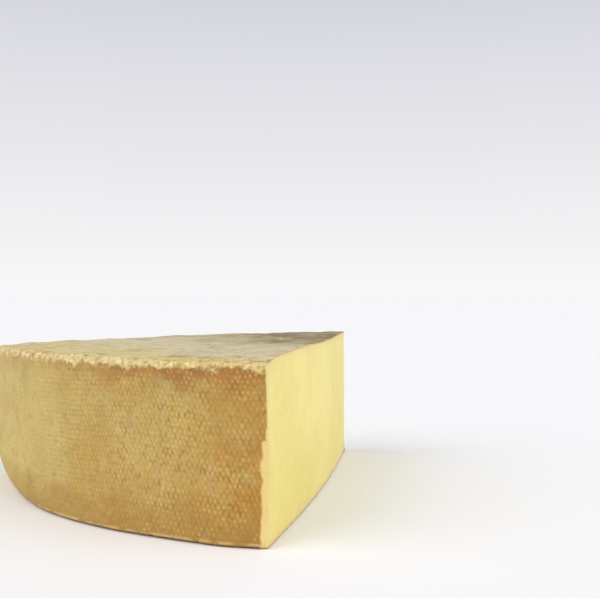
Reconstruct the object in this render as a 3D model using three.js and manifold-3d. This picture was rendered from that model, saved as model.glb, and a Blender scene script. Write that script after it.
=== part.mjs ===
// A wedge cut from a pressed hard-cheese wheel, standing on the wheel's flat bottom.
//
// Millimetres, +Z up. The wedge is symmetric about the YZ plane: its thin edge, which was the
// wheel's centre, points to +Y, and its heel, the wheel's side, faces -Y. The origin is at the
// middle of the wedge's box, on the surface it stands on. Rind and paste are one grown piece.
import * as THREE from 'three';
import { mergeVertices } from 'three/addons/utils/BufferGeometryUtils.js';
import Module from 'manifold-3d';

// Driving dimensions of the whole wheel.
const WHEEL_RADIUS = 336;
const WHEEL_HEIGHT = 120;
const TOP_CROWN = 2;      // how much the wheel's middle stands above its top rim
const HEEL_HOLLOW = 4;    // how deep the hoop and press leave the heel drawn in
const TOP_RIM = 4;        // size of the rounding where the heel meets the top
const BOTTOM_RIM = 7;     // the bottom rim spreads a little under the wheel's weight

// Driving dimensions of the cut.
const WEDGE_ANGLE = 60;   // degrees between the two cut faces: a sixth of the wheel
const CUT_BOW = 3;        // how far each cut face swells past a straight wire's line
const THIN_EDGE = 3;      // the thin edge is blunted over this length of each cut face

// How finely the curves are stepped.
const WHEEL_STEPS = 144;
const CURVE_STEPS = 10;
const CUT_CLEARANCE = 10; // the cutter reaches this far past the wheel on every side

const wasm = await Module();
wasm.setup();

// A closed three.js geometry as a manifold solid, for joining and cutting.
function solidOf(geometry) {
  const bare = geometry.clone();
  bare.deleteAttribute('normal');
  bare.deleteAttribute('uv');
  const welded = mergeVertices(bare, 1e-4);
  return new wasm.Manifold(new wasm.Mesh({
    numProp: 3,
    vertProperties: new Float32Array(welded.attributes.position.array),
    triVerts: new Uint32Array(welded.index.array),
  }));
}

// A manifold solid back as a three.js geometry.
function geometryOf(solid) {
  const mesh = solid.getMesh();
  const geometry = new THREE.BufferGeometry();
  geometry.setAttribute('position', new THREE.BufferAttribute(mesh.vertProperties, 3));
  geometry.setIndex(new THREE.BufferAttribute(mesh.triVerts, 1));
  geometry.computeVertexNormals();
  return geometry;
}

// The whole wheel: half its section, from the axis out along the bottom, up the hollow heel
// and back over the crowned top, turned about the upright axis.
function wheel() {
  const rimHeight = WHEEL_HEIGHT - TOP_CROWN;
  const section = new THREE.Path();
  section.moveTo(0, 0);
  section.lineTo(WHEEL_RADIUS - BOTTOM_RIM, 0);
  section.quadraticCurveTo(WHEEL_RADIUS, 0, WHEEL_RADIUS, BOTTOM_RIM);
  section.quadraticCurveTo(
    WHEEL_RADIUS - 2 * HEEL_HOLLOW, rimHeight / 2,
    WHEEL_RADIUS, rimHeight - TOP_RIM,
  );
  section.quadraticCurveTo(WHEEL_RADIUS, rimHeight, WHEEL_RADIUS - TOP_RIM, rimHeight);
  section.quadraticCurveTo(WHEEL_RADIUS / 2, WHEEL_HEIGHT, 0, WHEEL_HEIGHT);
  const geometry = new THREE.LatheGeometry(section.getPoints(CURVE_STEPS), WHEEL_STEPS);
  geometry.rotateX(Math.PI / 2);
  return geometry;
}

// The upright prism between the two cuts, with the wheel's axis at the sharp corner. side is
// -1 or 1 for the two cuts; a place on a cut is its distance from the axis and how far it
// stands out of the straight line.
function sector() {
  const half = THREE.MathUtils.degToRad(WEDGE_ANGLE / 2);
  const onCut = (side, distance, outward) => new THREE.Vector2(
    side * (distance * Math.sin(half) + outward * Math.cos(half)),
    -distance * Math.cos(half) + outward * Math.sin(half),
  );
  const reach = WHEEL_RADIUS + CUT_CLEARANCE;
  const bow = (side) => onCut(side, reach / 2, 2 * CUT_BOW);
  const plan = new THREE.Shape();
  plan.moveTo(0, -reach / Math.cos(half));
  plan.lineTo(...onCut(1, reach, 0));
  plan.quadraticCurveTo(...bow(1), ...onCut(1, THIN_EDGE, 0));
  plan.quadraticCurveTo(0, 0, ...onCut(-1, THIN_EDGE, 0));
  plan.quadraticCurveTo(...bow(-1), ...onCut(-1, reach, 0));
  plan.closePath();
  const geometry = new THREE.ExtrudeGeometry(plan, {
    depth: WHEEL_HEIGHT + 2 * CUT_CLEARANCE,
    curveSegments: CURVE_STEPS,
    bevelEnabled: false,
  });
  geometry.translate(0, 0, -CUT_CLEARANCE);
  return geometry;
}

// The wedge, moved from the wheel's axis to the middle of its own box.
function cheeseWedge() {
  const geometry = geometryOf(solidOf(wheel()).intersect(solidOf(sector())));
  geometry.computeBoundingBox();
  const { min, max } = geometry.boundingBox;
  geometry.translate(-(min.x + max.x) / 2, -(min.y + max.y) / 2, -min.z);
  const ripeCheese = new THREE.MeshStandardMaterial({
    color: 0xe3c47e,
    roughness: 0.6,
    metalness: 0,
  });
  const mesh = new THREE.Mesh(geometry, ripeCheese);
  mesh.name = 'cheese_wedge';
  return mesh;
}

const part = new THREE.Group();
part.add(cheeseWedge());

export default part;
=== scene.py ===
import math
from types import SimpleNamespace

import bpy
import numpy as np
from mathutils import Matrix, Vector


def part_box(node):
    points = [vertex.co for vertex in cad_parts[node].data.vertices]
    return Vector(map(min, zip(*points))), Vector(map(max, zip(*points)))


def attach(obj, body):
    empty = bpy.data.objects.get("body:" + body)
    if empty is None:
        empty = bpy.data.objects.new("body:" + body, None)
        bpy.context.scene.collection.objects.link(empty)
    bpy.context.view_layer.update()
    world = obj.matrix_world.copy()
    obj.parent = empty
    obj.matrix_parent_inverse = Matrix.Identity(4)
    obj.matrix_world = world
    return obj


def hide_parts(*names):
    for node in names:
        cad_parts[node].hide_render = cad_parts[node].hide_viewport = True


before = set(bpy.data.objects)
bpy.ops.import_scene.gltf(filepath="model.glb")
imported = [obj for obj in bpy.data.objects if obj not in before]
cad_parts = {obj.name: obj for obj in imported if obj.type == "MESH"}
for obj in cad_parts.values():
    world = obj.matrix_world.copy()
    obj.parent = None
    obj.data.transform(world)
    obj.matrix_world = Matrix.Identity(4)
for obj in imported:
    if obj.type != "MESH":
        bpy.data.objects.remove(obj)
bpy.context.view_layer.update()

# A sixth of a pressed mountain-cheese wheel, standing on the wheel's flat bottom. Lengths are in
# millimetres here and become metres only where the mesh, the lights and the camera are made.
# Places on the wedge are wheel places: radius from the wheel's axis, angle from straight ahead
# (-Y) towards +X, and height.

METRE = 1000.0

# ---------------------------------------------------------------- the wedge's measures

low, high = (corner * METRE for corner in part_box("cheese_wedge"))
BLUNT = 1.3                    # the thin edge stops this far short of the wheel's axis
AXIS_Y = high.y + BLUNT
RADIUS = AXIS_Y - low.y
HALF_ANGLE = math.asin((high.x - low.x) / 2 / RADIUS)
CROWN = 2.0                    # the wheel's middle stands this much above its rim
RIM_HEIGHT = high.z - CROWN
TOP_EDGE = RADIUS - 5          # the top face starts here
SEED = 7

# The heel was pressed in a hoop: its rims are crisp at the right end and worn at the left.
TOP_RIM = (5.5, 4.0)           # rounding of the top rim at the left end and the right end
HOLLOW = (3.0, 4.5)            # how far the heel's middle is drawn in, left and right
FOOT_UP = (42.0, 6.0)          # where the bottom rim starts to turn in, worn and crisp
FOOT_IN = (11.5, 5.0)          # and how far in it has come at the bottom
WORN_UNTIL = (0.12, 0.52)      # the wear fades out between these shares of the heel's length
OUTLINE_STEPS = (12, 60, 24)   # along the top rim's rounding, the wall and the foot

# The wire bellied out as it cut, most of all low down on the right.
LEFT_BELLY = 3.0
RIGHT_BELLY = (2.0, 6.5)       # at the top and at the bottom

# The top has settled unevenly.
LEFT_SAG = 1.2                 # how far it has sunk along the left-hand cut, and
LEFT_DROP = 2.3                # how much further at its corner with the heel
TIP_RISE = 1.5                 # how far it stands up towards the thin edge, and
RIGHT_RISE = 2.8               # along the right-hand cut, behind the rim

# The cheese cloth that lined the hoop: its marks stand in staggered rows.
MARK_PITCH = 3.75              # from mark to mark along a row
ROW_PITCH = 3.55               # from row to row
MARK_RELIEF = 0.62             # how far a mark stands up where the print is full

# How deep the small damage goes, and how far the dried lip and crust stand up.
HEEL_PIT = 0.75
TOP_PIT = 0.55
NIBBLE = 1.1
CREASE = 0.35
SEAM = 0.6
LIP_BEAD = 0.45
EYE = 1.2
SLIT = 1.5
CRUMB = 0.7
CRUMBLED_FOOT = 1.6
FOOT_CRUST = 1.8
CHIP_DEPTH = 1.5

# Short cracks in the right cut near the thin edge: radius, low end, high end, half width.
FISSURES = ((62, 40, 66, 1.8), (38, 16, 52, 2.2), (84, 62, 80, 1.6), (118, 30, 42, 1.6))

# The mesh is fine enough on the heel for four points to a cloth mark, and grows coarser inwards:
# the coarsest step of each side, and how fast it is reached.
HEEL_STEP = 0.86
TOP_STEP, TOP_GROWTH = 2.3, 0.045
CUT_STEP, CUT_GROWTH = 2.7, 0.06
UNDER_STEP, UNDER_GROWTH = 5.0, 0.15
RING_STEP, RING_GROWTH = 2.3, 1.05
FIRST_RING = 0.9               # how far in from the heel's edge the first ring lies
SETTLED = 40.0                 # the rings have lost the heel's shape this far in
FEWEST = 4                     # steps across the narrowest sides
THIN_EDGE = 3.0                # the last ring's radius, where the thin edge's blunting starts

# ---------------------------------------------------------------- camera

CAMERA_FROM_AXIS = (0.5265, -0.6627)   # from the wheel's axis, in metres
CAMERA_HEIGHT = 0.1649
CAMERA_AZIMUTH = 41.55
CAMERA_TILT = -0.68
LENS = 49.34


def place_camera():
    """A camera at counter height, looking almost level across the heel and one cut face."""
    data = bpy.data.cameras.new("camera")
    data.lens = LENS
    data.sensor_width = 36.0
    data.clip_start = 0.01
    camera = bpy.data.objects.new("camera", data)
    x, y = CAMERA_FROM_AXIS
    camera.location = (x, AXIS_Y / METRE + y, CAMERA_HEIGHT)
    azimuth, tilt = math.radians(CAMERA_AZIMUTH), math.radians(CAMERA_TILT)
    ahead = Vector((
        -math.sin(azimuth) * math.cos(tilt),
        math.cos(azimuth) * math.cos(tilt),
        math.sin(tilt),
    ))
    camera.rotation_mode = "QUATERNION"
    camera.rotation_quaternion = ahead.to_track_quat("-Z", "Y")
    bpy.context.scene.collection.objects.link(camera)
    bpy.context.scene.camera = camera


place_camera()

# ---------------------------------------------------------------- helpers for shapes


def smooth(value, start, end):
    """0 before start, 1 after end, and an even S-curve between them."""
    part = np.clip((value - start) / (end - start), 0, 1)
    return part * part * (3 - 2 * part)


def lumps(places, size, seed):
    """Seeded smooth noise from about -1 to 1, whose lumps are `size` mm across."""
    grid = places / np.asarray(size, float) + 1000.0
    cell = np.floor(grid).astype(np.int64)
    part = grid - cell
    ease = part * part * (3 - 2 * part)
    total = np.zeros(len(places))
    # Each corner of a cell has its own number from -1 to 1, mixed from its place and the seed.
    for corner in np.ndindex(2, 2, 2):
        at = cell + corner
        mixed = at[:, 0] * 73856093 ^ at[:, 1] * 19349663 ^ at[:, 2] * 83492791
        mixed = (mixed ^ (SEED + seed) * 668265263) & 0x7FFFFFFF
        mixed = ((mixed ^ mixed >> 13) * 1274126177) & 0x7FFFFFFF
        value = ((mixed ^ mixed >> 16) & 0xFFFF) / 32767.5 - 1
        weight = np.prod(np.where(corner, ease, 1 - ease), axis=1)
        total += weight * value
    return total * 1.3


def swells(places, *layers):
    """Lumps on lumps: each layer is its height, its lumps' size and its seed."""
    return sum(height * lumps(places, size, seed) for height, size, seed in layers)


def hill(value, middle, reach):
    """A round-topped hill: 1 at the middle, and nearly 0 at twice its reach."""
    return np.exp(-((value - middle) / reach) ** 2)


def arc_points(start, pull, end, steps):
    """A quadratic curve from start to end, drawn towards pull."""
    t = np.linspace(0, 1, steps + 1)[:, None]
    start, pull, end = np.array(start), np.array(pull), np.array(end)
    return (1 - t) ** 2 * start + 2 * t * (1 - t) * pull + t * t * end


def heel_outline(along, rows):
    """The heel's outline at one place along it (0 left, 1 right), from the top rim's inner
    edge to the bottom's: rows + 1 evenly spaced (radius, height) points, and their spacing."""
    rim, hollow = np.interp(along, (0, 1), TOP_RIM), np.interp(along, (0, 1), HOLLOW)
    worn = 1 - smooth(along, *WORN_UNTIL)
    foot_up = FOOT_UP[1] + (FOOT_UP[0] - FOOT_UP[1]) * worn
    foot_in = FOOT_IN[1] + (FOOT_IN[0] - FOOT_IN[1]) * worn
    rim_steps, wall_steps, foot_steps = OUTLINE_STEPS
    under_rim = (RADIUS, RIM_HEIGHT - rim)
    foot_start = (RADIUS, foot_up)
    top = arc_points((RADIUS - rim, RIM_HEIGHT), (RADIUS, RIM_HEIGHT), under_rim, rim_steps)
    wall = arc_points(under_rim, (RADIUS - 2 * hollow, RIM_HEIGHT / 2), foot_start, wall_steps)
    # A crisp foot is rounded like a corner; a worn one already leans in on its way down.
    turn = (RADIUS - 0.2 * foot_in * worn, 0.22 * foot_up * worn)
    foot = arc_points(foot_start, turn, (RADIUS - foot_in, 0), foot_steps)
    line = np.vstack((top, wall[1:], foot[1:]))
    length = np.concatenate(([0], np.cumsum(np.linalg.norm(np.diff(line, axis=0), axis=1))))
    even = np.linspace(0, length[-1], rows + 1)
    outline = np.column_stack([np.interp(even, length, line[:, i]) for i in (0, 1)])
    return outline, even


def cut_angle(side, radius, height):
    """Where a cut face is, as an angle: the right one for side 1, the left for side -1. The
    belly comes back to the wire's line at the heel and at the thin edge."""
    share = radius / RADIUS
    if side > 0:
        belly = RIGHT_BELLY[0] + (RIGHT_BELLY[1] - RIGHT_BELLY[0]) * (1 - height / high.z)
    else:
        belly = LEFT_BELLY
    out = belly * 4 * share * (1 - share)
    return HALF_ANGLE + out / np.maximum(radius, THIN_EDGE)


def top_height(radius):
    """The height of the slightly crowned top face."""
    return RIM_HEIGHT + CROWN * (1 - (radius / RADIUS) ** 2)


def crowded(count, much=0.45):
    """count + 1 even steps from 0 to 1, drawn together towards both ends."""
    s = np.linspace(0, 1, count + 1)
    return s - much * np.sin(2 * math.pi * s) / (2 * math.pi)


# ---------------------------------------------------------------- the wedge's skin

HEEL, TOP, UNDER, RIGHT_CUT, LEFT_CUT, TIP = range(6)


class Skin:
    """The closed surface of the wedge. Its points are kept as wheel places, with how far each
    lies down the heel's outline or in from it, and its faces with the side they belong to."""

    def __init__(self):
        self.radius, self.angle, self.height, self.down, self.inset = [], [], [], [], []
        self.faces, self.sides = [], []
        self.count = 0

    def points(self, radius, angle, height, down=0.0, inset=0.0):
        """Adds points and gives their numbers."""
        kept = (self.radius, self.angle, self.height, self.down, self.inset)
        for values, new in zip(kept, (radius, angle, height, down, inset)):
            values.append(np.broadcast_to(np.asarray(new, float), np.shape(radius)))
        numbers = np.arange(self.count, self.count + len(radius))
        self.count += len(radius)
        return numbers

    def face(self, corners, side):
        """Adds a face by its corners' numbers, anticlockwise from outside."""
        self.faces.append(tuple(int(c) for c in corners))
        self.sides.append(side)

    def join(self, outer, outer_at, inner, inner_at, side):
        """Fills the strip between two rows of points with triangles, stepping along whichever
        row is behind. The two rows may differ in number and may share their end points."""
        i = j = 0
        while i < len(outer) - 1 or j < len(inner) - 1:
            outer_next = outer_at[i + 1] if i < len(outer) - 1 else 2.0
            inner_next = inner_at[j + 1] if j < len(inner) - 1 else 2.0
            if outer_next <= inner_next:
                corners = (outer[i], outer[i + 1], inner[j])
                i += 1
            else:
                corners = (outer[i], inner[j + 1], inner[j])
                j += 1
            if len(set(corners)) == 3:
                self.face(corners, side)

    def gathered(self):
        """The points' radius, angle, height, way down the heel and way in, as whole arrays."""
        kept = (self.radius, self.angle, self.height, self.down, self.inset)
        return [np.concatenate(values) for values in kept]


def heel_grid(skin):
    """The heel, rims included: a grid of points from the top face's edge to the underside's."""
    columns = round(2 * HALF_ANGLE * RADIUS / HEEL_STEP)
    rows = round((RIM_HEIGHT + TOP_RIM[1]) / HEEL_STEP)
    grid = np.zeros((rows + 1, columns + 1), int)
    for c, along in enumerate(np.linspace(0, 1, columns + 1)):
        outline, down = heel_outline(along, rows)
        radius, height = outline[:, 0], outline[:, 1]
        left, right = cut_angle(-1, radius, height), cut_angle(1, radius, height)
        grid[:, c] = skin.points(radius, -left + along * (left + right), height, down)
    for r in range(rows):
        for c in range(columns):
            corners = (grid[r, c], grid[r + 1, c], grid[r + 1, c + 1], grid[r, c + 1])
            skin.face(corners, HEEL)
    return grid


def ring_insets():
    """How far in from the heel each ring lies: close together by the rind, then evenly."""
    insets, step = [FIRST_RING], FIRST_RING
    last = RADIUS - TOP_RIM[1] - THIN_EDGE
    while insets[-1] < last - RING_STEP:
        step = min(RING_STEP, step * RING_GROWTH)
        insets.append(insets[-1] + step)
    insets[-1] = last - RING_STEP / 2
    return insets + [None]


def ring(skin, inset, edge):
    """One closed ring round the wedge: across the top, down the right cut, back across the
    underside and up the left cut. inset None is the last ring, at the thin edge."""
    way_in = RADIUS if inset is None else inset
    settle = float(smooth(way_in, 0, SETTLED))
    width = 0.0 if inset is None else 2 * HALF_ANGLE * (RADIUS - inset)

    def spaced(length, coarsest, growth):
        return crowded(max(FEWEST, round(length / min(coarsest, HEEL_STEP + way_in * growth))))

    def radius_of(name, at):
        if inset is None:
            return np.full(len(at), THIN_EDGE)
        start = np.interp(at, edge[name + "_at"], edge[name])
        return start + (TOP_EDGE - start) * settle - inset

    top_at = spaced(width, TOP_STEP, TOP_GROWTH)
    under_at = spaced(width, UNDER_STEP, UNDER_GROWTH)
    cut_at = spaced(RIM_HEIGHT, CUT_STEP, CUT_GROWTH)
    radius = radius_of("top", top_at)
    height = top_height(radius)
    left, right = cut_angle(-1, radius, height), cut_angle(1, radius, height)
    top = skin.points(radius, -left + top_at * (left + right), height, 0, way_in)
    radius = radius_of("under", under_at)
    height = np.zeros_like(radius)
    left, right = cut_angle(-1, radius, height), cut_angle(1, radius, height)
    under = skin.points(radius, right - under_at * (left + right), height, 0, way_in)

    def column(side, name, upper, lower):
        radius = radius_of(name, cut_at)
        shaped = np.interp(cut_at, edge[name + "_at"], edge[name + "_height"])
        straight = top_height(radius[0]) * (1 - cut_at)
        height = shaped + (straight - shaped) * settle
        angle = side * cut_angle(side, radius, height)
        middle = skin.points(radius[1:-1], angle[1:-1], height[1:-1], 0, way_in)
        return np.concatenate(([upper], middle, [lower]))

    right_cut = column(1, "right", top[-1], under[0])
    left_cut = column(-1, "left", top[0], under[-1])
    return {
        "top": top, "top_at": top_at,
        "right": right_cut, "right_at": cut_at,
        "under": under, "under_at": under_at,
        "left": left_cut[::-1], "left_at": 1 - cut_at[::-1],
    }


def heel_edges(skin, grid):
    """The heel grid's border as the first ring, and its shape, which the next rings follow."""
    radius, _, height, *_ = skin.gathered()
    across, down = (np.linspace(0, 1, count) for count in grid.shape[::-1])
    places = {"top_at": across, "under_at": across, "right_at": down, "left_at": down}
    border = {
        "top": grid[0], "right": grid[:, -1], "under": grid[-1, ::-1], "left": grid[::-1, 0],
        **places,
    }
    edge = {"top": radius[grid[0]], "under": radius[grid[-1, ::-1]], **places}
    for name, column in (("right", grid[:, -1]), ("left", grid[:, 0])):
        edge[name] = radius[column]
        edge[name + "_height"] = height[column]
    return border, edge


def close_tip(skin, last):
    """The blunted thin edge: columns of points round it, and small caps above and below."""
    radius, angle, height, *_ = skin.gathered()
    right, left = last["right"], last["left"][::-1]
    columns = [right]
    for t in (0.25, 0.5, 0.75):
        x = (1 - t) ** 2 * radius[right] * np.sin(angle[right])
        x += t * t * radius[left] * np.sin(angle[left])
        y = (1 - t) ** 2 * radius[right] * np.cos(angle[right])
        y += t * t * radius[left] * np.cos(angle[left])
        columns.append(skin.points(np.hypot(x, y), np.arctan2(x, y), height[right], 0, RADIUS))
    columns.append(left)
    for one, two in zip(columns, columns[1:]):
        for r in range(len(right) - 1):
            skin.face((one[r], one[r + 1], two[r + 1], two[r]), TIP)
    round_at = np.linspace(0, 1, len(columns))
    above = np.array([column[0] for column in columns[::-1]])
    below = np.array([column[-1] for column in columns])
    skin.join(last["top"], last["top_at"], above, round_at, TOP)
    skin.join(last["under"], last["under_at"], below, round_at, UNDER)


def wedge_skin():
    """The whole skin: the heel, then ring after ring inwards, and the thin edge."""
    skin = Skin()
    outer, edge = heel_edges(skin, heel_grid(skin))
    ring_sides = {"top": TOP, "right": RIGHT_CUT, "under": UNDER, "left": LEFT_CUT}
    for inset in ring_insets():
        inner = ring(skin, inset, edge)
        for name, side in ring_sides.items():
            skin.join(outer[name], outer[name + "_at"], inner[name], inner[name + "_at"], side)
        outer = inner
    close_tip(skin, outer)
    return skin


# ---------------------------------------------------------------- relief


def point_normals(places, faces):
    """Each point's outward direction, from the faces round it."""
    corners = np.array([f[:3] for f in faces] + [(f[0], f[2], f[3]) for f in faces if len(f) == 4])
    a, b, c = (places[corners[:, i]] for i in range(3))
    across = np.cross(b - a, c - a)
    normals = np.zeros_like(places)
    for i in range(3):
        for axis in range(3):
            normals[:, axis] += np.bincount(corners[:, i], across[:, axis], len(places))
    return normals / np.linalg.norm(normals, axis=1)[:, None]


def dents(surface, where, seed, number, size):
    """Small round dents at seeded places on a surface given as two lengths: 0 to 1 deep. Their
    half widths vary from half of `size` to one and a half times it."""
    rng = np.random.default_rng(SEED + seed)
    deep = np.zeros(len(surface))
    across = surface[where].min(0), surface[where].max(0)
    for _ in range(number):
        centre = rng.uniform(*across)
        reach = size * rng.uniform(0.5, 1.5, 2)
        gap = (surface[where] - centre) / reach
        near = np.exp(-(gap ** 2).sum(1) * 1.4)
        deep[where] = np.maximum(deep[where], near * rng.uniform(0.5, 1.0))
    return deep


def survey(skin):
    """What the relief goes by: each point's wheel place and place in space, its way along the
    heel from the middle (arc), its way out and down from the top's edge (rim_way), its way to
    either cut, and which sides it is on."""
    radius, angle, height, down, inset = skin.gathered()
    on = np.zeros((6, len(radius)), bool)
    for corners, side in zip(skin.faces, skin.sides):
        on[side, list(corners)] = True
    heel, top = on[HEEL], on[TOP]
    rim_way = np.where(heel, down, radius - TOP_EDGE)
    return SimpleNamespace(
        radius=radius, angle=angle, height=height, down=down, inset=inset,
        places=np.column_stack((radius * np.sin(angle), AXIS_Y - radius * np.cos(angle), height)),
        arc=RADIUS * angle,
        rim_way=np.where(top & ~heel, np.minimum(rim_way, 0), rim_way),
        right_gap=radius * (HALF_ANGLE - angle), left_gap=radius * (HALF_ANGLE + angle),
        heel=heel, top=top, under=on[UNDER], right_cut=on[RIGHT_CUT],
        cut=on[RIGHT_CUT] | on[LEFT_CUT] | on[TIP],
    )


def cloth_marks(at):
    """How strongly each point stands up as a cloth mark, 0 to 1, and how full the print is
    there. The cloth lay a little askew and stretched, so its rows wander. At the left the rows
    show more than the marks in them; to the right the marks are crisp."""
    places = at.places
    arc = at.arc + swells(places, (1.6, 70, 11), (0.85, 6.5, 12))
    up = at.height + swells(places, (1.8, 80, 13), (0.65, 6.5, 14))
    marks = np.cos(2 * math.pi * arc / MARK_PITCH) * np.cos(math.pi * up / ROW_PITCH)
    rows = np.cos(2 * math.pi * up / ROW_PITCH)
    crisp = smooth(arc, -90, 120)
    woven = (0.20 + 0.24 * crisp) * marks + (0.24 - 0.10 * crisp) * rows
    uneven = 0.98 + swells(places, (0.26, 5.5, 18))
    threads = (0.24 + 0.04 * crisp) * lumps(places, 2.3, 17)
    full = 0.80 + swells(places, (0.12, 24, 15), (0.18, 8, 16))
    return np.clip(0.50 + woven * uneven + threads, 0, 1.15), np.clip(full, 0.2, 1.15)


def press_heel(at):
    """The heel: cloth marks, the hoop's slow swells, small pits and a nibbled top rim. Gives how
    far each point is pushed out, and what the rind's material goes by."""
    stands, full = cloth_marks(at)
    # The print fades at both rims, and towards the left.
    pressed = at.heel * smooth(at.down, 4, 8.5) * smooth(at.height, 0.5, 5)
    pressed *= 0.28 + 0.72 * smooth(at.arc, -60, 125)
    full = full * pressed
    imprint = stands * full
    swell = swells(at.places, (0.7, 48, 21), (0.25, 16, 22), (0.10, 5, 23))
    pits = dents(np.column_stack((at.arc, at.height)), at.heel, 31, 46, 1.5)
    nibbled = np.clip(0.25 + swells(at.places, (0.55, 8, 24), (0.45, 3, 25)), -0.3, 1.2)
    nibbled *= hill(at.down, 3.0, 4.5) * (0.4 + 0.6 * smooth(at.arc, -130, 0))
    push = swell * smooth(at.down, 0, 12) - NIBBLE * nibbled
    push = np.where(at.heel, push, 0) - HEEL_PIT * pits
    push += MARK_RELIEF * (imprint - 0.45 * pressed)
    return push, {"imprint": imprint, "full": full, "pit": pits}


def brush_top(at):
    """The top: brushed and uneven, with a beaded lip along the rim, a broken seam inside the
    lip, and creases that run round the wheel and fade out inwards."""
    places, rim_way = at.places, at.rim_way
    brushed = swells(places, (0.55, 44, 41), (0.35, 17, 42), (0.22, 6, 43))
    round_way = np.column_stack((0.3 * at.radius * at.angle, rim_way, np.zeros_like(rim_way)))
    creases = lumps(round_way, 6.5, 44) + swells(places, (0.4, 4.6, 48))
    creases = smooth(creases, 0.35, 1.1) * smooth(lumps(places, 15, 46), -0.2, 0.6)
    creases *= (at.top & ~at.heel) * (0.25 + 0.75 * smooth(rim_way, -95, -35))
    seam = hill(rim_way, -6.5, 2.2) * smooth(lumps(places, 13, 45), -0.1, 0.5)
    dashes = hill(rim_way, -17, 2.6) * smooth(lumps(places, 7, 47), -0.3, 0.3)
    seam = np.maximum(seam, dashes * smooth(at.arc, 95, 125)) * at.top
    pits = dents(places[:, :2], at.top, 32, 55, 2.4)
    push = np.where(at.top, brushed, 0) - CREASE * creases - SEAM * seam - TOP_PIT * pits
    push += LIP_BEAD * hill(rim_way, -1.5, 2.6) * (at.top | at.heel)
    return push, {"crease": np.maximum(0.8 * creases, seam), "pit": pits}


def cut_by_wire(at):
    """The cuts: a slow wave of the wire, faint drag marks down the face, a few eyes and short
    cracks, crumbs lost by the rind, and a crumbled bottom end of the thin edge."""
    places, radius, height = at.places, at.radius, at.height
    top = top_height(radius)
    wave = swells(places, (0.55, 75, 61), (0.16, 24, 62))
    wave *= smooth(smooth(height, 0, 8) * smooth(RIM_HEIGHT - height, 0, 8), 0, 1)
    drag = 0.07 * lumps(places * (1, 1, 0.05), 3.4, 63) + 0.05 * lumps(places * (1, 1, 0.03), 7, 64)
    under_rind = np.minimum(np.minimum(height, top - height), TOP_EDGE + 1 - radius)
    under_rind = np.where(at.cut, np.maximum(under_rind, 0), 0)

    slits = np.zeros(len(places))
    for middle, low_end, high_end, wide in FISSURES:
        split = hill(radius - swells(places, (3.4, 13, 65)), middle, wide)
        slits += split * smooth(height, low_end, low_end + 14) * smooth(high_end - height, 0, 9)
    slits = np.where(at.cut & (at.angle > 0), slits, 0)
    on_cut = np.column_stack((radius * np.sign(at.angle), height))
    eyes = dents(on_cut, at.cut, 34, 34, 2.6) * smooth(under_rind, 8, 20)
    crumbs = dents(on_cut, at.cut, 33, 260, 1.3) * np.exp(-under_rind / 7)

    foot = hill(radius, 0, 16) * smooth(24 - height, 0, 14) * (at.cut | at.under)
    crumbled = foot * (0.5 + swells(places, (0.5, 5, 66)))
    crust = hill(radius, 11, 5) * smooth(5 - height, 0, 2) * at.right_cut

    push = np.where(at.cut, wave + drag - EYE * eyes - CRUMB * crumbs, 0) - SLIT * slits
    push += FOOT_CRUST * crust - CRUMBLED_FOOT * crumbled * smooth(height, -1, 3)
    return push, {
        "under_rind": under_rind,
        "skin_gap": np.where(at.cut, np.minimum(height, 1.7 * (top - height)), 9),
        "crumbled": np.clip(crumbled + crust, 0, 1),
        "opening": np.clip(np.maximum(slits, np.where(at.cut, eyes, 0)), 0, 1),
    }


def chipped_edge(at):
    """How much of the chip's depth is gone at each point: where the cut left the heel, the rind
    has broken off the edge, all down the lower half."""
    lower = smooth(70 + swells(at.places, (3, 9, 71)) - at.height, -2, 2)
    width = 0.7 + swells(at.places, (0.7, 5, 72))
    width += lower * (3.6 + swells(at.places, (1.1, 6, 73)))
    chip = np.clip(1 - at.right_gap / np.maximum(width, 0.05), 0, 1)
    below_rim = np.where(at.inset > 0, 1, smooth(at.down, 3, 6))
    return chip * (at.heel | at.right_cut) * below_rim


def settled_top(at):
    """How far each point has risen, or sunk, because the top has settled unevenly."""
    sag = LEFT_SAG * smooth(at.radius, 180, 275) + LEFT_DROP * smooth(at.radius, 302, 330)
    sag -= TIP_RISE * smooth(at.radius, 225, 110)
    sag *= hill(at.left_gap, 0, 75) * smooth(at.height, 30, 115)
    rise = RIGHT_RISE * hill(at.right_gap, 0, 60) * smooth(at.height, 60, 118)
    return rise * smooth(at.radius, 100, 240) * smooth(RADIUS - at.radius, 3, 28) - sag


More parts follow.
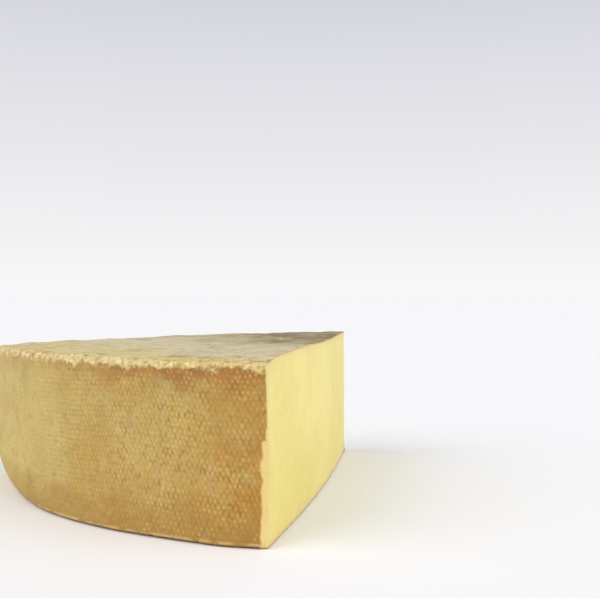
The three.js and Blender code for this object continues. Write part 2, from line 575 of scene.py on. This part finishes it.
def shape_wedge(at, faces):
    """Turns wheel places into points in space, presses the relief of every side into them, and
    gives the points and what the materials need to know about each of them."""
    normals = point_normals(at.places, faces)
    heel_push, heel_known = press_heel(at)
    top_push, top_known = brush_top(at)
    cut_push, cut_known = cut_by_wire(at)
    push = heel_push + top_push + cut_push

    # The underside is only pressed upwards, so that the wedge still stands on its own level.
    pressed_up = 0.12 + swells(at.places, (0.12, 20, 51))
    push -= np.where(at.under & ~at.heel, pressed_up, 0)

    # All cut edges are a little soft, and frayed.
    fray = 0.35 + 0.25 * np.clip(lumps(at.places, 4, 81), -1, 1)
    push -= np.where(at.cut & (at.heel | at.top | at.under), fray, 0)

    moved = at.places + normals * push[:, None]
    chip = chipped_edge(at)
    inward = np.column_stack((-np.sin(at.angle), np.cos(at.angle), np.zeros_like(at.angle)))
    moved += inward * (CHIP_DEPTH * chip * np.exp(-at.inset / (2 * CHIP_DEPTH)))[:, None]
    moved[:, 2] = np.maximum(moved[:, 2] + settled_top(at), 0)
    known = {
        "arc": at.arc,
        "rim_way": at.rim_way,
        "right_gap": at.right_gap,
        "height": moved[:, 2],
        "bare": np.clip(chip * 5, 0, 1) * np.exp(-at.inset / 3),
        **heel_known, **top_known, **cut_known,
        "pit": np.where(at.heel, heel_known["pit"], np.where(at.top, top_known["pit"], 0)),
    }
    return moved, known


# ---------------------------------------------------------------- materials


def srgb(code):
    """An sRGB hex colour as the linear colour that a shader takes."""
    parts = [int(code[i:i + 2], 16) / 255 for i in (1, 3, 5)]
    return (*[c / 12.92 if c <= 0.04045 else ((c + 0.055) / 1.055) ** 2.4 for c in parts], 1.0)


def add(tree, kind, inputs=None, **settings):
    """Adds one node with its settings, and its inputs as values or as links."""
    made = tree.nodes.new(kind)
    for name, value in settings.items():
        setattr(made, name, value)
    for name, value in (inputs or {}).items():
        if isinstance(value, bpy.types.NodeSocket):
            tree.links.new(value, made.inputs[name])
        else:
            made.inputs[name].default_value = value
    return made


def new_material(name):
    """A new material with one shader, and its tree and shader."""
    material = bpy.data.materials.new(name)
    material.use_nodes = True
    tree = material.node_tree
    tree.nodes.clear()
    shader = add(tree, "ShaderNodeBsdfPrincipled")
    output = add(tree, "ShaderNodeOutputMaterial", {"Surface": shader.outputs["BSDF"]})
    output.is_active_output = True
    return material, tree, shader


def share_of(tree, measure, start, end, low_to=0.0, high_to=1.0, plus=()):
    """How far a measure has come from start to end, eased, as a number from low_to to high_to.
    The measure is a socket, or the name of one that the mesh carries; what `plus` holds is
    added to it first."""
    if isinstance(measure, str):
        measure = add(tree, "ShaderNodeAttribute", attribute_name=measure).outputs["Fac"]
    for more in plus:
        measure = add(tree, "ShaderNodeMath", {0: measure, 1: more}, operation="ADD").outputs[0]
    return add(tree, "ShaderNodeMapRange", {
        "Value": measure, "From Min": start, "From Max": end, "To Min": low_to, "To Max": high_to,
    }, interpolation_type="SMOOTHSTEP").outputs["Result"]


def speckle(tree, size, detail, uneven, stretch=None):
    """Noise whose lumps are `size` mm across on the object."""
    place = add(tree, "ShaderNodeTexCoord").outputs["Object"]
    if stretch:
        spot = {"Vector": place, "Scale": stretch}
        place = add(tree, "ShaderNodeMapping", spot).outputs["Vector"]
    return add(tree, "ShaderNodeTexNoise", {
        "Vector": place, "Scale": METRE / size, "Detail": detail, "Roughness": uneven,
    }).outputs["Fac"]


def wander(tree, size, far, detail=4, uneven=0.55):
    """How a border wanders: up to `far` mm either way, in bends `size` mm long."""
    return share_of(tree, speckle(tree, size, detail, uneven), 0.3, 0.7, -far, far)


def coat(tree, under, colour, *shares):
    """Lays a colour over what is under it, as strongly as all the shares multiplied."""
    much = shares[0]
    for share in shares[1:]:
        much = add(tree, "ShaderNodeMath", {0: much, 1: share}, operation="MULTIPLY").outputs[0]
    mix = {"Fac": much, "Color1": under, "Color2": colour}
    return add(tree, "ShaderNodeMixRGB", mix).outputs["Color"]


def patched(tree, under, *coats):
    """Lays coats of colour on in patches. Each is the patches' size in mm, the noise's detail and
    unevenness, between which of its levels the patch comes on, how strong it is, its colour,
    and perhaps how it is stretched."""
    for size, (detail, uneven), (start, end), most, colour, *stretch in coats:
        noise = speckle(tree, size, detail, uneven, *stretch)
        under = coat(tree, under, srgb(colour), share_of(tree, noise, start, end, 0, most))
    return under


def roughened(tree, *layers):
    """The direction of a surface with relief too fine for the mesh. Each layer is its grain's
    size in mm, detail and unevenness, its strength, its depth in mm, and perhaps a stretch."""
    below = {}
    for size, (detail, uneven), strength, depth, *stretch in layers:
        bump = add(tree, "ShaderNodeBump", {
            "Height": speckle(tree, size, detail, uneven, *stretch),
            "Strength": strength, "Distance": depth / METRE, **below,
        })
        below = {"Normal": bump.outputs["Normal"]}
    return bump.outputs["Normal"]


def heel_colour_and_painted_light(tree):
    """The heel's colour: straw tan at the left and browner to the right, in faint patches, with
    painted shade and highlights on the cloth marks and a painted contact shadow by the board.
    """
    drift = share_of(tree, speckle(tree, 60, 3, 0.55), 0.25, 0.75, -50, 50)
    along = share_of(tree, "arc", -100, 170, plus=(drift,))
    heel = coat(tree, srgb("#D0BB74"), srgb("#B8974F"), along)
    heel = patched(
        tree, heel,
        (30, (4, 0.55), (0.52, 0.70), 0.40, "#C69D4C"),
        (44, (4, 0.55), (0.54, 0.72), 0.45, "#B2A465", (1.3, 1.3, 1)),
        (19, (4, 0.55), (0.56, 0.74), 0.45, "#C1A37A", (1.2, 1.2, 1)),
        (5.5, (4, 0.55), (0.50, 0.72), 0.36, "#AE8646"),
        (4.2, (4, 0.55), (0.56, 0.76), 0.32, "#D9C486"),
    )

    # The smear collects under the top rim, by the right-hand cut and on the bottom rim; the darker
    # band on the bottom rim is partly smear and partly painted shade near the board.
    under_top = share_of(tree, "rim_way", 8, 26, 0.92, 0.0, plus=(wander(tree, 14, 6),))
    heel = coat(tree, heel, srgb("#A67039"), under_top, share_of(tree, "arc", -40, 165, 0.25, 1.0))
    by_cut = share_of(tree, "right_gap", 0, 44, 0.85, 0.0, plus=(wander(tree, 26, 22),))
    heel = coat(tree, heel, srgb("#B4802F"), by_cut, share_of(tree, "rim_way", 20, 75, 0.45, 1.0))
    # Partly smear, partly painted shade near the board.
    foot_smear_and_shade = share_of(tree, "rim_way", 86, 112, 0.0, 0.62, plus=(wander(tree, 16, 6),))
    heel = coat(tree, heel, srgb("#A67C3A"), foot_smear_and_shade, share_of(tree, "arc", -160, -20, 0.1, 1.0))

    # Cloth marks: painted shade in the hollows between them, and painted highlights on the marks, a
    # little warmer to the right.
    full = add(tree, "ShaderNodeAttribute", attribute_name="full").outputs["Fac"]
    heel = coat(tree, heel, srgb("#977236"), full, share_of(tree, "imprint", 0.04, 0.34, 0.85, 0.0))
    mark_highlights = coat(tree, srgb("#DCBC6E"), srgb("#DAB364"), share_of(tree, "arc", 60, 160))
    heel = coat(tree, heel, mark_highlights, full, share_of(tree, "imprint", 0.46, 0.84, 0.0, 0.56))

    # The bottom rim is worn pale in places, which is partly a painted highlight where it catches the
    # light;
    # right down by the board it is painted nearly black, a painted contact shadow.
    rubbed_and_lit = share_of(tree, speckle(tree, 12, 3, 0.55), 0.38, 0.60, 0.1, 1.0)
    above, below = share_of(tree, "height", 1.6, 2.6), share_of(tree, "height", 3.2, 4.6, 0.75, 0.0)
    heel = coat(tree, heel, srgb("#DDBE82"), above, below, rubbed_and_lit)
    # Painted contact shadow: nearly black along the heel's lowest 2 mm.
    return coat(tree, heel, srgb("#4E3A1C"), share_of(tree, "height", 0.4, 1.9, 0.85, 0.0))


def blotched_top(tree):
    """The top's colour: straw by the rim, then grey-beige, and olive brown towards the thin edge,
    which comes sooner along the right-hand cut."""
    rim_way = add(tree, "ShaderNodeAttribute", attribute_name="rim_way").outputs["Fac"]
    sooner = share_of(tree, "right_gap", 0, 100, 50, 0)
    inward = add(tree, "ShaderNodeMath", {0: wander(tree, 50, 35), 1: rim_way}, operation="SUBTRACT")
    inward = add(tree, "ShaderNodeMath", {0: inward.outputs[0], 1: sooner}, operation="ADD").outputs[0]
    top = coat(tree, srgb("#DAC98A"), srgb("#D9CBA6"), share_of(tree, inward, 30, 80))
    top = coat(tree, top, srgb("#BDB288"), share_of(tree, inward, 110, 185))
    top = coat(tree, top, srgb("#857650"), share_of(tree, inward, 180, 240))
    top = patched(
        tree, top,
        (26, (6, 0.65), (0.44, 0.72), 0.65, "#B5AA72"),
        (33, (6, 0.62), (0.48, 0.72), 0.65, "#E0D0B2", (1, 1, 1.1)),
        (12, (6, 0.68), (0.46, 0.74), 0.60, "#958B5E"),
        (15, (6, 0.65), (0.50, 0.74), 0.60, "#E0C4A4", (1, 1, 1.5)),
        (3.2, (3, 0.55), (0.50, 0.76), 0.50, "#857A50"),
    )
    # Painted shade in the creases and the broken seam.
    return coat(tree, top, srgb("#80743F"), share_of(tree, "crease", 0.15, 0.9, 0, 0.60))


def pale_lip(tree):
    """The colour of the worn lip along the top rim: cream, olive and tan, finely spotted."""
    lip = patched(
        tree, srgb("#E1CE91"),
        (8, (4, 0.55), (0.48, 0.70), 0.80, "#DEC392"),
        (17, (4, 0.55), (0.50, 0.66), 0.75, "#C1B975"),
        (6, (4, 0.55), (0.52, 0.68), 0.80, "#AC9150"),
        (27, (3, 0.55), (0.50, 0.62), 0.45, "#D2A96C"),
    )
    lip = coat(tree, lip, srgb("#D4B866"), share_of(tree, "arc", 30, 140, 0, 0.30))
    # Fine spots over those: dark ones of smear, and pale dry ones.
    lip = patched(
        tree, lip,
        (2.6, (3, 0.55), (0.48, 0.70), 0.75, "#9F7F40"),
        (4.4, (3, 0.55), (0.50, 0.70), 0.75, "#F4E0AE"),
    )
    # Painted shade in the seam and the creases that reach the lip.
    return coat(tree, lip, srgb("#A0924E"), share_of(tree, "crease", 0.3, 0.9, 0, 0.7))


def cloth_pressed_rind():
    """Smear-ripened rind, pressed in coarse cloth and brushed with brine. The smear dries dull
    and orange-brown, with painted shade in the hollows between the marks and painted highlights
    on the marks; brushing and handling leave the rims and the top face paler, from straw at the
    front to grey-beige at the wheel's middle. Pits and creases carry painted shade, the foot by
    the board a painted contact shadow, and the bottom rim's pale line is partly a painted highlight."""
    material, tree, shader = new_material("cloth_pressed_rind")
    heel = heel_colour_and_painted_light(tree)
    rind = coat(tree, blotched_top(tree), pale_lip(tree), share_of(tree, "rim_way", -22, -3))

    # The lip ends in a ragged line on the heel, calmer at the left. edge_gap is the way past it.
    ragged = wander(tree, 14, 2.4, detail=2)
    for finer in (wander(tree, 5, 1.9, detail=2), wander(tree, 2.4, 0.5, detail=2)):
        ragged = add(tree, "ShaderNodeMath", {0: ragged, 1: finer}, operation="ADD").outputs[0]
    calmer = share_of(tree, "arc", -150, -10, 0.40, 1.0)
    edge_gap = add(tree, "ShaderNodeAttribute", attribute_name="rim_way").outputs["Fac"]
    edge_gap = add(tree, "ShaderNodeMath", {0: ragged, 1: calmer, 2: edge_gap},
                   operation="MULTIPLY_ADD").outputs[0]
    lip_end = share_of(tree, "arc", -120, 120, -7.5, -6.0), share_of(tree, "arc", 152, 172, 0, 1.5)
    for part in lip_end:
        edge_gap = add(tree, "ShaderNodeMath", {0: edge_gap, 1: part}, operation="ADD").outputs[0]
    rind = coat(tree, rind, heel, share_of(tree, edge_gap, -1.5, 2.6))

    # Dark nicks along that line, painted shade in the pits, and chips that show the paste.
    nicks = share_of(tree, speckle(tree, 9, 3, 0.55), 0.50, 0.62, 0.0, 0.60)
    before, after = share_of(tree, edge_gap, -1.0, 0.6), share_of(tree, edge_gap, 0.8, 3.4, 1.0, 0.0)
    fewer = share_of(tree, "arc", -150, -30, 0.35, 1.0)
    rind = coat(tree, rind, srgb("#815A2A"), before, after, nicks, fewer)
    bare = add(tree, "ShaderNodeAttribute", attribute_name="bare").outputs["Fac"]
    rind = coat(tree, rind, srgb("#E7CE83"), bare)
    # Painted shade in the pits.
    rind = coat(tree, rind, srgb("#7B5A2C"), share_of(tree, "pit", 0.25, 0.95, 0, 0.5))
    tree.links.new(rind, shader.inputs["Base Color"])

    # Dried smear is dull; brushed marks are a little greasy.
    tree.links.new(share_of(tree, "imprint", 0.2, 0.9, 0.74, 0.60), shader.inputs["Roughness"])
    shader.inputs["IOR"].default_value = 1.45
    shader.inputs["Specular IOR Level"].default_value = 0.35

    # Thread marks and dried grain are about 0.5 mm across; they are drawn at 0.9 mm to show.
    grain = (0.9, (3, 0.55), 0.55, 0.35)
    scurf = (3.2, (4, 0.55), 0.5, 0.8)
    tree.links.new(roughened(tree, grain, scurf), shader.inputs["Normal"])
    return material


def wire_cut_paste():
    """Ripe pressed paste, cut with a wire: smooth, butter yellow and faintly greasy, letting
    light in a little way, with a darker peach band where it has dried under the rind."""
    material, tree, shader = new_material("wire_cut_paste")
    paste = patched(
        tree, srgb("#F0E087"),
        (90, (3, 0.5), (0.35, 0.65), 1.0, "#E8D87B"),
        (13, (4, 0.5), (0.5, 0.75), 0.20, "#DECA72", (1, 1, 0.25)),
        (4, (4, 0.5), (0.55, 0.8), 0.25, "#F7EAB0"),
    )

    # Pressed curds are about 5 mm across, and their joins are a shade darker.
    place = add(tree, "ShaderNodeTexCoord").outputs["Object"]
    curds = add(tree, "ShaderNodeTexVoronoi", {"Vector": place, "Scale": METRE / 5.5},
                feature="DISTANCE_TO_EDGE")
    joins = share_of(tree, curds.outputs["Distance"], 0.0, 0.12, 0.16, 0.0)
    paste = coat(tree, paste, srgb("#D3BE68"), joins)

    # A peach band under the rind; along the top and bottom edges the rind's own thin line, which at
    # the bottom is partly painted contact shadow against the board; darker brown on the crust and
    # crumbled foot of the thin edge; and painted shade inside cracks and eyes.
    uneven_band = (wander(tree, 10, 1.2, 3, 0.5),)
    for measure, start, end, low_to, high_to, colour, plus in (
        ("under_rind", 0.5, 9, 0.75, 0.0, "#E6CC86", uneven_band),
        # The rind's thin line along the edges, partly painted contact shadow at the bottom.
        ("skin_gap", 0.3, 4.0, 0.60, 0.0, "#CDB577", ()),
        ("skin_gap", 0.2, 1.4, 0.70, 0.0, "#AC8648", ()),
        # Darker crust and crumbled foot, then painted shade inside cracks and eyes.
        ("crumbled", 0.15, 0.8, 0.0, 0.8, "#A78A4A", ()),
        ("opening", 0.25, 0.9, 0.0, 0.45, "#C9AC58", ()),
    ):
        share = share_of(tree, measure, start, end, low_to, high_to, plus)
        paste = coat(tree, paste, srgb(colour), share)
    tree.links.new(paste, shader.inputs["Base Color"])

    greasy = share_of(tree, speckle(tree, 14, 3, 0.5), 0.3, 0.7, 0.44, 0.56)
    tree.links.new(greasy, shader.inputs["Roughness"])
    for name, value in {
        "IOR": 1.46, "Specular IOR Level": 0.4, "Subsurface Weight": 0.25,
        "Subsurface Radius": (1.0, 0.75, 0.35), "Subsurface Scale": 0.004,
    }.items():
        shader.inputs[name].default_value = value

    # The curd's grain is about 1 mm; the wire's drag marks run down the face.
    grain = (1.1, (3, 0.5), 0.25, 0.2)
    drag = (5, (3, 0.5), 0.3, 0.6, (1, 1, 0.06))
    tree.links.new(roughened(tree, grain, drag), shader.inputs["Normal"])
    return material


# ---------------------------------------------------------------- the piece

# Where each side lies on the flat map that the materials are baked to: corner and scale, in
# map millimetres. The heel gets the most room, for its cloth marks, and the underside the least.
MAP_SIZE = 640.0
MAP_PLACES = {
    HEEL: (8, 8, 1.72),
    TOP: (8, 238, 1.0),
    RIGHT_CUT: (352, 238, 0.84),
    LEFT_CUT: (352, 348, 0.84),
    UNDER: (352, 458, 0.50),
    TIP: (532, 458, 1.0),
}


def flat_map(mesh, sides, at):
    """Unrolls each side of the wedge onto its own place on the flat map."""
    x, y = at.radius * np.sin(at.angle), at.radius * np.cos(at.angle)
    half_width = RADIUS * math.sin(HALF_ANGLE)
    flat = {
        HEEL: (RADIUS * (at.angle + HALF_ANGLE), at.down),
        TOP: (x + half_width, y),
        UNDER: (half_width - x, y),
        RIGHT_CUT: (at.radius, at.height),
        LEFT_CUT: (at.radius, at.height),
        TIP: (x + THIN_EDGE, at.height),
    }
    layer = mesh.uv_layers.new(name="OFBake")
    corner_points = np.zeros(len(mesh.loops), int)
    mesh.loops.foreach_get("vertex_index", corner_points)
    sizes = np.zeros(len(mesh.polygons), int)
    mesh.polygons.foreach_get("loop_total", sizes)
    corner_sides = np.repeat(sides, sizes)
    spread = np.zeros((len(mesh.loops), 2))
    for side, (left, bottom, scale) in MAP_PLACES.items():
        here = corner_sides == side
        for axis, start in enumerate((left, bottom)):
            spread[here, axis] = start + scale * flat[side][axis][corner_points[here]]
    layer.data.foreach_set("uv", (spread / MAP_SIZE).ravel())


def make_wedge():
    """The wedge as one closed mesh, which carries the measures that its two materials go by."""
    skin = wedge_skin()
    at = survey(skin)
    points, known = shape_wedge(at, skin.faces)
    mesh = bpy.data.meshes.new("ripe_cheese_wedge")
    mesh.from_pydata((points / METRE).tolist(), [], skin.faces)
    mesh.polygons.foreach_set("use_smooth", [True] * len(skin.faces))
    sides = np.array(skin.sides)
    for material in (cloth_pressed_rind(), wire_cut_paste()):
        mesh.materials.append(material)
    slots = np.isin(sides, (RIGHT_CUT, LEFT_CUT, TIP)).astype(int)
    mesh.polygons.foreach_set("material_index", slots)
    for name, values in known.items():
        layer = mesh.attributes.new(name, "FLOAT", "POINT")
        layer.data.foreach_set("value", values.astype(np.float32))
    flat_map(mesh, sides, at)
    mesh.update()
    wedge = bpy.data.objects.new("ripe_cheese_wedge", mesh)
    bpy.context.scene.collection.objects.link(wedge)
    return wedge


wedge = make_wedge()
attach(wedge, "root")
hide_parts("cheese_wedge")

# ---------------------------------------------------------------- floor and light

FLOOR_REACH = 40.0             # metres each way: it runs to the horizon


def matte_white_paint():
    """White paint, rolled on and dried matt: an even, pale surface with next to no shine."""
    material, _, shader = new_material("matte_white_paint")
    shader.inputs["Base Color"].default_value = srgb("#FAFAF9")
    shader.inputs["Roughness"].default_value = 0.85
    shader.inputs["Specular IOR Level"].default_value = 0.2
    return material


def make_floor():
    """A plain pale floor."""
    mesh = bpy.data.meshes.new("floor")
    corners = [(x * FLOOR_REACH, y * FLOOR_REACH, 0) for x, y in ((-1, -1), (1, -1), (1, 1), (-1, 1))]
    mesh.from_pydata(corners, [], [(0, 1, 2, 3)])
    mesh.materials.append(matte_white_paint())
    floor = bpy.data.objects.new("floor", mesh)
    bpy.context.scene.collection.objects.link(floor)


def lamp(name, azimuth, elevation, power, spread, colour):
    """A very wide, even studio light from one direction."""
    data = bpy.data.lights.new(name, "SUN")
    data.angle = math.radians(spread)
    data.energy = power
    data.color = srgb(colour)[:3]
    light = bpy.data.objects.new(name, data)
    a, e = math.radians(azimuth), math.radians(elevation)
    back = Vector((math.sin(a) * math.cos(e), -math.cos(a) * math.cos(e), math.sin(e)))
    light.rotation_mode = "QUATERNION"
    light.rotation_quaternion = back.to_track_quat("Z", "Y")
    bpy.context.scene.collection.objects.link(light)


def light_studio():
    """A white room that is brightest low down, and two wide lamps: left front and right."""
    world = bpy.data.worlds.new("white_room")
    world.use_nodes = True
    tree = world.node_tree
    way = add(tree, "ShaderNodeTexCoord").outputs["Generated"]
    up = add(tree, "ShaderNodeSeparateXYZ", {"Vector": way}).outputs["Z"]
    ramp = add(tree, "ShaderNodeValToRGB", {"Fac": up})
    stops = ramp.color_ramp.elements
    stops[0].position, stops[0].color = 0.0, srgb("#F8F8F8")
    stops[1].position, stops[1].color = 0.62, srgb("#A9AAB2")
    middle = stops.new(0.27)
    middle.color = srgb("#DDDDE4")
    background = tree.nodes["Background"]
    tree.links.new(ramp.outputs["Color"], background.inputs["Color"])
    background.inputs["Strength"].default_value = 1.0
    bpy.context.scene.world = world
    lamp("key", CAMERA_AZIMUTH - 62, 42, 1.40, 55, "#FFFDFB")
    lamp("fill", CAMERA_AZIMUTH + 68, 36, 1.20, 60, "#FFFFFF")
    bpy.context.scene.view_settings.view_transform = "Standard"


make_floor()
light_studio()
